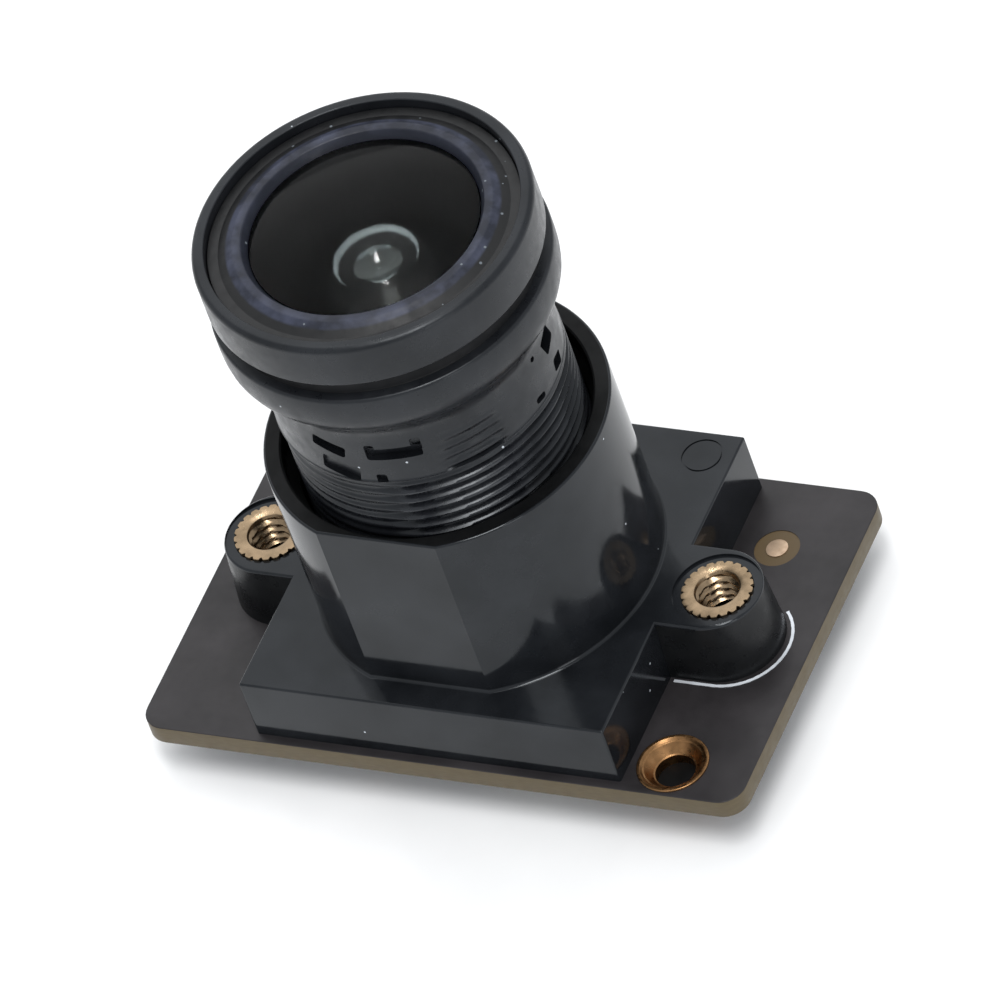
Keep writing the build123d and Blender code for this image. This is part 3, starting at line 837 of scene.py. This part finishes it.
def tube_body():
    """The tube, with a small fillet at its foot and a rounded top edge."""
    foot, edge = 0.15, 0.1
    rows = [(foot, BASE_TOP - 0.5), (foot, BASE_TOP)]
    rows += [(foot - up, BASE_TOP + inward) for inward, up in quarter_round(foot)[1:]]
    rows += [(-inward, holder_top() - edge + up) for inward, up in quarter_round(edge)]
    outlines = [
        [
            (x * MM, y * MM, BOARD_TOP + z * MM)
            for x, y in tube_outline(HOLDER_RADIUS + grow, HOLDER_FLAT + grow)
        ]
        for grow, z in rows
    ]
    return surface_mesh("tube", outlines, True, False)


def mouth_cutter():
    """The bore, opened out at the mouth; the end of the lens thread leaves one small step in it."""
    segments, floor, above = 288, 3.6, 13
    tight, mouth, edge = 6.03, 6.42, 6.5

    def start_of(angle):
        return 9.95 + 0.35 * ((angle - math.radians(MOUTH_STEP)) / TAU % 1)

    rows = [on_axis(floor), plain_row(tight, floor, segments)]
    for share in (0, 0.25, 0.5, 0.75, 1):
        radius = tight + (mouth - tight) * share
        rows.append(round_row(lambda angle: radius, lambda angle: start_of(angle) + 0.5 * share, segments))
    rows += [plain_row(mouth, 11.58, segments), plain_row(edge, holder_top(), segments)]
    rows += [plain_row(6.6, above, segments), on_axis(above)]
    return loose_object("bore", surface_mesh("bore", rows, True, False))


def on_ear_side(at, radius):
    """Side of a lug, below its rounded edge."""
    return abs(at.x) > 8.15 and abs(at.y) < 2.6 and 0 < at.z < 2.86


def lens_holder():
    holder = base_block()
    combined(holder, ear(1), ear(-1), loose_object("tube", tube_body()), operation="UNION")
    gate = loose_object("gate", prism("gate", rounded_box((7.4, 7.4), 1.0), -1, 4))
    seat = loose_object("seat", prism("seat", rounded_box((8.5, 8.5), 0.3), -1, 2.75))
    room = loose_object("room", prism("room", rounded_box((13.0, 12.4), 0.2), -1, 2.2))
    cutters = [mouth_cutter(), gate, seat, room]
    for side in (-1, 1):
        for radius, bottom in ((INSERT_RADIUS, -1), (1.87, BASE_TOP - 0.12)):
            profile = [(0, bottom), (radius, bottom), (radius, 4), (0, 4)]
            mesh = lathe("well", profile, (side * INSERT_PLACE, 0), 96, False)
            cutters.append(loose_object("well", mesh))
    mark = lathe("mark", [(0.79, 2.95), (0.87, 2.95), (0.87, 4), (0.79, 4)], (6.7, 6.7), 64)
    cutters.append(loose_object("mark", mark))
    combined(holder, *cutters)
    finish_piece(holder, "camera_board", "holder_plastic", "holder", "lens_holder", crease=19)
    # painted shade: the bore's walls inside the tube take the darker bore black
    inlaid(holder.data, "bore", lambda at, radius: radius < 6.52 and at.z > 3.2)
    inlaid(holder.data, "lug", on_ear_side)


# ---- brass inserts -------------------------------------------------------------------------
TEETH = 22


def serrated_row(x, valley, crest, height, segments):
    """One row round an insert at x, with round teeth between these radii."""

    def radius_at(angle):
        tooth = 1 - max(0, math.cos(angle * TEETH)) ** 2
        return valley + (crest - valley) * tooth

    return round_row(radius_at, lambda angle: height, segments, (x, 0))


def thread_insert(name, x):
    """Serrated outside, threaded inside, its flat face flush with the ear."""
    segments = TEETH * 10
    core, depth, pitch = 0.8, 0.18, 0.4
    top = (INSERT_TOP - BOARD_TOP) / MM
    rows = [serrated_row(x, 1.38, INSERT_RADIUS, h, segments) for h in (0.1, top - 0.02)]
    rows.append(serrated_row(x, 1.37, 1.485, top, segments))
    entry = ((1.0, top), (0.95, top - 0.02), (0.9, top - 0.12))
    rows += [plain_row(r, z, segments, (x, 0)) for r, z in entry]
    for height in reversed(steps_between(1.4, top - 0.25, pitch / 10)):
        rows.append(threaded_row(height, core + depth, depth, pitch, segments, (x, 0)))
    rows += [plain_row(1.0, z, segments, (x, 0)) for z in (1.35, 0.1)]
    mesh = surface_mesh(name, rows, True, True)
    new_piece(name, mesh, "camera_board", "brass", "brass", "thread_inserts", crease=35)


# ---- board ---------------------------------------------------------------------------------
BOARD_CORNER = 1.0
EYELETS = ((9.9, -6.7), (-9.9, 6.7))
FIDUCIAL = (9.95, 4.86)


def circuit_board():
    size = (high("circuit_board") - low("circuit_board")) / MM
    bottom = (BOARD_BOTTOM - BOARD_TOP) / MM
    outline = rounded_box((size.x, size.y), BOARD_CORNER)
    board = loose_object("board_panel", prism("board", outline, bottom, 0))
    bevelled(board, 0.04, 4)
    cutters = []
    screw_holes = [((-INSERT_PLACE, 0), 1.1), ((INSERT_PLACE, 0), 1.1)]
    for centre, radius in [(place, 1.38) for place in EYELETS] + screw_holes:
        profile = [(0, -2), (radius, -2), (radius, 1), (0, 1)]
        cutters.append(loose_object("hole", lathe("hole", profile, centre, 96, False)))
    window = [(0, -0.03), (0.96, -0.03), (0.96, 1), (0, 1)]
    cutters.append(loose_object("window", lathe("window", window, FIDUCIAL, 96, False)))
    combined(board, *cutters)
    finish_piece(board, "camera_board", "solder_mask", "board", "circuit_board")


def board_eyelet(name, centre):
    bottom = (BOARD_BOTTOM - BOARD_TOP) / MM
    points = [(0.83, bottom - 0.08), (1.5, bottom - 0.08), (1.5, bottom), (1.38, bottom), (1.38, 0)]
    points += [(1.5, 0), (1.5, 0.08), (1.36, 0.08), (1.27, 0.0), (1.2, -0.02), (0.9, -0.4), (0.83, -0.42)]
    radii = (0.02, 0.03, 0, 0, 0, 0, 0.038, 0.03, 0.03, 0.03, 0.03, 0.02)
    mesh = lathe(name, rounded_profile(points, radii), centre, 96)
    new_piece(name, mesh, "camera_board", "gold_plate", "gold", "board_eyelets")
    # painted shade: a dark disc in the bore's shade black closes the foot of the eyelet, where only shade
    # would show through the hole
    shade_plug_outline = [(0, bottom + 0.02), (0.84, bottom - 0.01), (0.84, bottom + 0.02)]
    shade_plug_outline += [(0.6, bottom + 0.04), (0, bottom + 0.05)]
    mesh = lathe(name + "_shade_plug", shade_plug_outline, centre, 64, False)
    new_piece(name + "_shade_plug", mesh, "camera_board", "solder_mask", "bore")


def fiducial_dot():
    points = [(0, -0.03), (0.46, -0.03), (0.46, 0.012), (0.39, 0.02), (0, 0.02)]
    mesh = lathe("fiducial_pad", points, FIDUCIAL, 64, False)
    new_piece("fiducial_pad", mesh, "camera_board", "bare_copper", "copper", "fiducial_dot")


def ink_line():
    """Printed line of slightly uneven width that follows the right ear."""
    centre, radius, start = (9.95, -0.08), 2.46, 8.3
    straight = 8
    path = [(start + 1.65 * i / straight, centre[1] - radius) for i in range(straight)]
    path += arc(centre, radius, -90, 46, 56)
    left, right = [], []
    for i, point in enumerate(path):
        before = Vector(path[max(0, i - 1)])
        after = Vector(path[min(len(path) - 1, i + 1)])
        side = (after - before).orthogonal().normalized()
        half = 0.062 + 0.006 * math.sin(i * 1.7)
        left.append(tuple(Vector(point) + side * half))
        right.append(tuple(Vector(point) - side * half))
    mesh = prism("ink_line", left + right[::-1], 0, 0.028)
    new_piece("ink_line", mesh, "camera_board", "white_ink", "ink", "ink_outline")


# ---- underside -----------------------------------------------------------------------------
def islands(node):
    """Boxes, as (low, high) in millimetres, of the separate solids of a CAD node."""
    mesh = bmesh.new()
    mesh.from_mesh(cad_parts[node].data)
    bmesh.ops.remove_doubles(mesh, verts=mesh.verts, dist=1e-7)
    left, boxes = set(mesh.verts), []
    while left:
        reach = [left.pop()]
        found = list(reach)
        while reach:
            for edge in reach.pop().link_edges:
                for vert in edge.verts:
                    if vert in left:
                        left.remove(vert)
                        reach.append(vert)
                        found.append(vert)
        spans = [[v.co[k] / MM for v in found] for k in range(3)]
        boxes.append((Vector([min(v) for v in spans]), Vector([max(v) for v in spans])))
    mesh.free()
    return sorted(boxes, key=lambda box: tuple(round(c, 3) for c in box[0]))


def softened(node, body, slot, look, width):
    """A copy of a CAD node's shape with rounded edges."""
    mesh = bmesh.new()
    mesh.from_mesh(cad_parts[node].data)
    bmesh.ops.remove_doubles(mesh, verts=mesh.verts, dist=1e-7)
    bmesh.ops.dissolve_limit(mesh, angle_limit=math.radians(1), verts=mesh.verts, edges=mesh.edges)
    copy = bpy.data.meshes.new(node + "_body")
    mesh.to_mesh(copy)
    mesh.free()
    piece = loose_object(node + "_body", copy)
    bevelled(piece, width, 3)
    finish_piece(piece, body, slot, look, node, crease=40)


def pan_head_screw(name, x):
    """Cross-recessed pan head, with its shank in the insert."""
    seat = (low("screw_washers").z - BOARD_TOP) / MM
    foot = (low("holder_screws").z - BOARD_TOP) / MM
    tip = (high("holder_screws").z - BOARD_TOP) / MM
    profile = [(0, foot), (0.9, foot + 0.01), (1.4, foot + 0.12), (1.75, foot + 0.38), (1.88, foot + 0.7)]
    profile += [(1.9, foot + 0.9), (1.9, seat - 0.04), (1.86, seat), (0.98, seat), (0.78, seat + 0.2)]
    profile += [(0.78, tip - 0.15), (0.6, tip), (0, tip)]
    screw = loose_object(name, lathe(name, profile, (x, 0), 96, False))
    slots = []
    for size in ((2.0, 0.42), (0.42, 2.0)):
        outline = rounded_box(size, 0.12, (x, 0))
        slots.append(loose_object("slot", prism("slot", outline, foot - 1, foot + 0.75)))
    combined(screw, *slots)
    finish_piece(screw, "camera_board", "screw_steel", "steel", "holder_screws", crease=35)


def joined(name, meshes, slot, look):
    """One piece on the board from several meshes."""
    whole = bmesh.new()
    for mesh in meshes:
        whole.from_mesh(mesh)
        bpy.data.meshes.remove(mesh)
    result = bpy.data.meshes.new(name)
    whole.to_mesh(result)
    whole.free()
    new_piece(name, result, "camera_board", slot, look)


def solder_joints(pads):
    """A concave fillet of solder round the foot of each contact; pads are (low, high) boxes."""
    bottom = (BOARD_BOTTOM - BOARD_TOP) / MM
    parts = []
    for start, end in pads:
        centre = ((start.x + end.x) / 2, (start.y + end.y) / 2)
        rows = []
        for i in range(6):
            t = i / 5
            grow = 0.16 * (1 - t) ** 2 - 0.01
            size = (end.x - start.x + 2 * grow, end.y - start.y + 2 * grow)
            corner = min(0.1 + max(0, grow), 0.45 * min(size))
            depth = bottom + 0.005 - 0.22 * t
            outline = rounded_box(size, corner, centre, 3)
            rows.append([(x * MM, y * MM, BOARD_TOP + depth * MM) for x, y in outline])
        parts.append(surface_mesh("solder", rows, True, False))
    joined("solder_joints", parts, "tin", "solder")


def copper_tracks(pads):
    """Tracks under the mask: each leaves a joint, bends once and ends in a covered via."""
    half_x, half_y = (high("circuit_board").xy / MM) - Vector((0.7, 0.7))
    bottom = (BOARD_BOTTOM - BOARD_TOP) / MM
    parts = []
    for i, (start, end) in enumerate(pads):
        centre = Vector(((start.x + end.x) / 2, (start.y + end.y) / 2))
        along = Vector((1, 0)) if end.y - start.y > end.x - start.x else Vector((0, 1))
        if centre.dot(along) < 0:
            along = -along
        side = Vector((-along.y, along.x)) * (1 if i % 2 else -1)
        knee = centre + along * (0.7 + 0.2 * (i % 3))
        last = knee + (along + side) * (0.35 + 0.12 * (i % 4))
        if abs(last.x) > half_x or abs(last.y) > half_y:
            continue
        for a, b in ((centre, knee), (knee, last)):
            run = (b - a).normalized() * 0.075
            out = Vector((-run.y, run.x))
            outline = [a - run + out, a - run - out, b + run - out, b + run + out]
            parts.append(prism("track", [tuple(p) for p in outline], bottom - 0.025, bottom + 0.01))
        ring = [(0.1, bottom + 0.01), (0.26, bottom + 0.01)]
        ring += [(0.24, bottom - 0.035), (0.14, bottom - 0.035)]
        parts.append(lathe("via", ring, tuple(last), 24))
    joined("masked_tracks", parts, "solder_mask", "board")


# node, body, slot, look and edge width in millimetres
SOFTENED = (
    ("connector_housing", "camera_board", "connector_plastic", "ivory", 0.05),
    ("connector_latch", "latch", "latch_plastic", "brown", 0.05),
    ("connector_contacts", "camera_board", "contact_gold", "contact", 0.02),
    ("connector_tabs", "camera_board", "tin", "tin", 0.04),
    ("voltage_regulators", "camera_board", "chip_epoxy", "epoxy", 0.05),
    ("regulator_leads", "camera_board", "tin", "tin", 0.03),
    ("memory_chip", "camera_board", "chip_epoxy", "epoxy", 0.05),
    ("oscillator_case", "camera_board", "ceramic", "ceramic", 0.06),
    ("oscillator_cover", "camera_board", "lid_metal", "lid", 0.05),
    ("capacitor_bodies", "camera_board", "capacitor_ceramic", "tan", 0.04),
    ("capacitor_ends", "camera_board", "tin", "tin", 0.05),
    ("resistor_bodies", "camera_board", "resistor_glaze", "glaze", 0.03),
    ("resistor_ends", "camera_board", "tin", "tin", 0.04),
    ("screw_washers", "camera_board", "screw_steel", "steel", 0.05),
)


# ---- carried-over parts --------------------------------------------------------------------
NODE_LOOKS = {
    "sensor_package": "ceramic", "sensor_die": "silicon", "sensor_cover_glass": "lens_glass",
    "infrared_filter": "filter_glass",
    "rear_retaining_ring": "flat_black", "rear_glass": "lens_glass", "rear_spacer": "flat_black",
    "doublet_rear_glass": "lens_glass", "doublet_front_glass": "lens_glass",
    "aperture_stop": "flat_black", "stop_spacer": "flat_black", "second_glass": "inner_glass",
    "front_seal": "flat_black",
}


def dress_nodes():
    for node, look in NODE_LOOKS.items():
        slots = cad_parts[node].data.materials
        slots.clear()
        slots.append(MATERIALS[look])


add_camera()
plain_colours()
add_world()
add_floor()
for light in LIGHTS:
    add_softbox(*light)
make_materials()
lens_barrel()
lens_rings()
front_optics()
lens_holder()
thread_insert("brass_insert_left", low("thread_inserts").x / MM + INSERT_RADIUS)
thread_insert("brass_insert_right", high("thread_inserts").x / MM - INSERT_RADIUS)
circuit_board()
for corner, place in zip(("front", "back"), EYELETS):
    board_eyelet(f"eyelet_{corner}", place)
fiducial_dot()
ink_line()
pan_head_screw("screw_left", middle("thread_inserts").x / MM - INSERT_PLACE)
pan_head_screw("screw_right", middle("thread_inserts").x / MM + INSERT_PLACE)
for part in SOFTENED:
    softened(*part)
chip_joints = islands("capacitor_ends") + islands("resistor_ends")
lead_joints = islands("regulator_leads") + islands("connector_tabs")
solder_joints(chip_joints + lead_joints)
copper_tracks(chip_joints)
dress_nodes()
